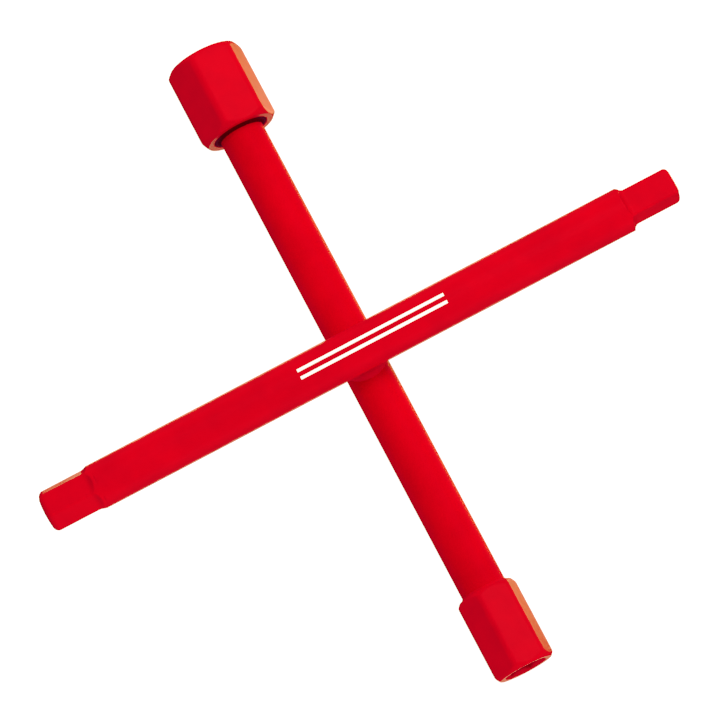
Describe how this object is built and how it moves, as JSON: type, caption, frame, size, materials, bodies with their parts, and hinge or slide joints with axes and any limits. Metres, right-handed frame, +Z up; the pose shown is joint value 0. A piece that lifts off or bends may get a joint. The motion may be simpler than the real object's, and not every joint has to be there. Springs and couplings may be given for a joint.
{
  "type": "four-way cross key wrench",
  "caption": "Rigid cross key of two welded round bars with a large and a small hex socket, a male hexagon and a male square, for turning plugs, valves and caps.",
  "frame": {"origin": "centre of the bounding box's base, under the crossing of the bars", "axes": "+X towards the male square, +Y towards the large socket, +Z up, with the drive bar on top of the socket bar"},
  "size_m": [0.2114, 0.212, 0.0328],
  "materials": {
    "bar_paint": "semi-gloss red paint",
    "socket_paint": "semi-gloss red paint",
    "weld_paint": "semi-gloss red paint over weld"
  },
  "bodies": {
    "root": {"drive_bar": "bar_paint", "socket_bar": "bar_paint", "large_socket": "socket_paint", "small_socket": "socket_paint", "large_socket_weld": "weld_paint", "small_socket_weld": "weld_paint", "crossing_weld_front": "weld_paint", "crossing_weld_back": "weld_paint"}
  },
  "joints": []
}
